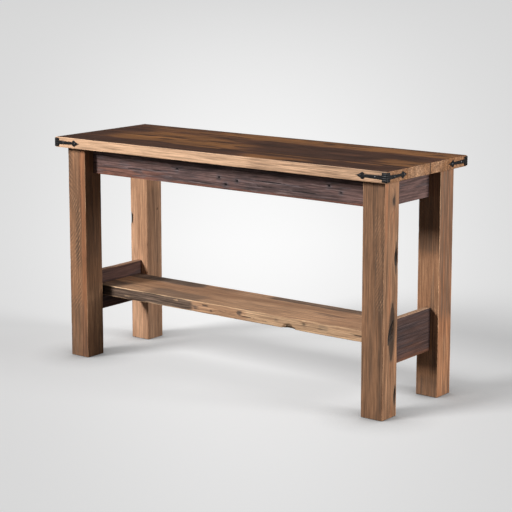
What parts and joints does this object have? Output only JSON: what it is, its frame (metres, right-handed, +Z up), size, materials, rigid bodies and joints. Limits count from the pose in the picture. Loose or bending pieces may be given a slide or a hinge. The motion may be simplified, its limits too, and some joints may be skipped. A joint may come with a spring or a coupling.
{
  "type": "console table",
  "caption": "Rustic console table in reclaimed planks, with square posts, a recessed apron, end stretchers, a low plank shelf and forged iron corner straps.",
  "frame": {"origin": "on the floor, under the centre of the top", "axes": "+X along the table's length, -Y out of the front, +Z up"},
  "size_m": [1.3436, 0.4636, 0.762],
  "materials": {
    "top_wood": "reclaimed plank, dark brown patina on the faces, bare tan edges, hand-rubbed satin",
    "leg_wood": "reclaimed post, warm brown, saw marks, knots and checks, dull satin",
    "apron_wood": "rough-sawn weathered board, grey-purple brown, matt",
    "stretcher_wood": "rough-sawn weathered board, dark purple brown with worn lighter arrises, matt",
    "shelf_wood": "reclaimed plank, mid brown with weathered dark stretches and a worn light arris, satin",
    "strap_iron": "forged iron, hammered, blackened",
    "nail_iron": "forged nail heads, blackened, satin",
    "dowel_wood": "plain turned hardwood",
    "button_wood": "plain sawn hardwood",
    "screw_steel": "plain zinc-plated steel"
  },
  "bodies": {
    "root": {"top_plank_front": "top_wood", "top_plank_mid_front": "top_wood", "top_plank_mid_rear": "top_wood", "top_plank_rear": "top_wood", "leg_front_left": "leg_wood", "leg_front_right": "leg_wood", "leg_rear_left": "leg_wood", "leg_rear_right": "leg_wood", "apron_front": "apron_wood", "apron_rear": "apron_wood", "apron_left": "apron_wood", "apron_right": "apron_wood", "stretcher_left": "stretcher_wood", "stretcher_right": "stretcher_wood", "shelf_plank": "shelf_wood", "strap_front_left": "strap_iron", "strap_front_right": "strap_iron", "strap_rear_left": "strap_iron", "strap_rear_right": "strap_iron", "strap_nails": "nail_iron", "top_dowels": "dowel_wood", "shelf_dowels": "dowel_wood", "top_buttons": "button_wood", "button_screws": "screw_steel"}
  },
  "joints": []
}
